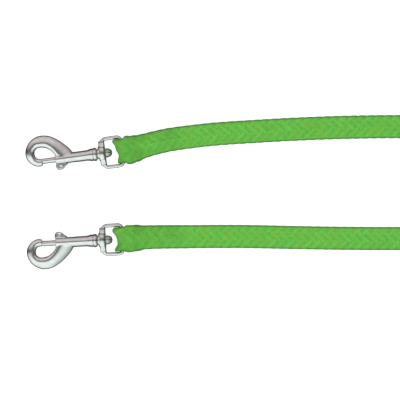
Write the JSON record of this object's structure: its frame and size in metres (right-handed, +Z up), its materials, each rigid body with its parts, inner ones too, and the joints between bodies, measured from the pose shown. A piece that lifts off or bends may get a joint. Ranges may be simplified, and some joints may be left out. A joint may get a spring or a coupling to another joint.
{
  "type": "lead rope",
  "caption": "Flat braided lead rope with a swivel-eye bolt snap spliced to each end, its spare length folded in a tied hank.",
  "frame": {"origin": "on the floor, in the middle of the box round the snaps and their eyes, with the lead lying flat", "axes": "+X from the hooks along the strap towards the hank, +Y across from one snap to the other, +Z up from the floor"},
  "size_m": [0.6309, 0.157, 0.0202],
  "materials": {
    "snap_nickel": "bright nickel plate on die-cast zinc, soft cast edges",
    "bolt_nickel": "bright nickel plate, fine turning marks",
    "knob_nickel": "bright nickel plate, worn at the thumb face",
    "spring_steel": "drawn spring wire, oiled",
    "pin_nickel": "bright nickel plate, peened round head",
    "eye_nickel": "bright nickel plate on die-cast zinc",
    "strap_braid": "flat hollow braid of bright green polypropylene yarn",
    "splice_braid": "the same green braid, fuller where the tail is tucked in",
    "stitch_thread": "green bonded sewing thread",
    "tie_tape": "black hook-and-loop tape"
  },
  "bodies": {
    "lead": {"strap_end_a": "splice_braid", "strap_run_a": "strap_braid", "lock_stitching_a": "stitch_thread", "strap_end_b": "splice_braid", "strap_run_b": "strap_braid", "lock_stitching_b": "stitch_thread", "strap_hank": "strap_braid", "hank_tie": "tie_tape"},
    "eye_a": {"swivel_eye_a": "eye_nickel"},
    "snap_a": {"snap_body_a": "snap_nickel", "swivel_pin_a": "pin_nickel", "gate_spring_a": "spring_steel"},
    "gate_a": {"gate_bolt_a": "bolt_nickel", "thumb_knob_a": "knob_nickel"},
    "eye_b": {"swivel_eye_b": "eye_nickel"},
    "snap_b": {"snap_body_b": "snap_nickel", "swivel_pin_b": "pin_nickel", "gate_spring_b": "spring_steel"},
    "gate_b": {"gate_bolt_b": "bolt_nickel", "thumb_knob_b": "knob_nickel"}
  },
  "joints": [
    {"name": "eye_swing_a", "type": "hinge", "parent": "lead", "child": "eye_a", "pos_m": [0.041, 0.04508, 0.00664], "axis": [-0.1305, 0.9914, 0], "range_deg": [-90, 90]},
    {"name": "snap_swivel_a", "type": "hinge", "parent": "eye_a", "child": "snap_a", "pos_m": [0.0191, 0.0422, 0.00591], "axis": [0.9909, 0.1305, 0.0331], "continuous": true},
    {"name": "gate_slide_a", "type": "slide", "parent": "snap_a", "child": "gate_a", "axis": [0.9909, 0.1305, 0.0331], "range_m": [0, 0.0125], "stiffness_N_per_m": 300, "springref_m": -0.01, "deforming": ["gate_spring_a"]},
    {"name": "eye_swing_b", "type": "hinge", "parent": "lead", "child": "eye_b", "pos_m": [0.04135, -0.03153, 0.00664], "axis": [0.0576, -0.9983, 0], "range_deg": [-90, 90]},
    {"name": "snap_swivel_b", "type": "hinge", "parent": "eye_b", "child": "snap_b", "pos_m": [0.0193, -0.0328, 0.00591], "axis": [0.9978, 0.0575, 0.0331], "continuous": true},
    {"name": "gate_slide_b", "type": "slide", "parent": "snap_b", "child": "gate_b", "axis": [0.9978, 0.0575, 0.0331], "range_m": [0, 0.0125], "stiffness_N_per_m": 300, "springref_m": -0.01, "deforming": ["gate_spring_b"]}
  ]
}
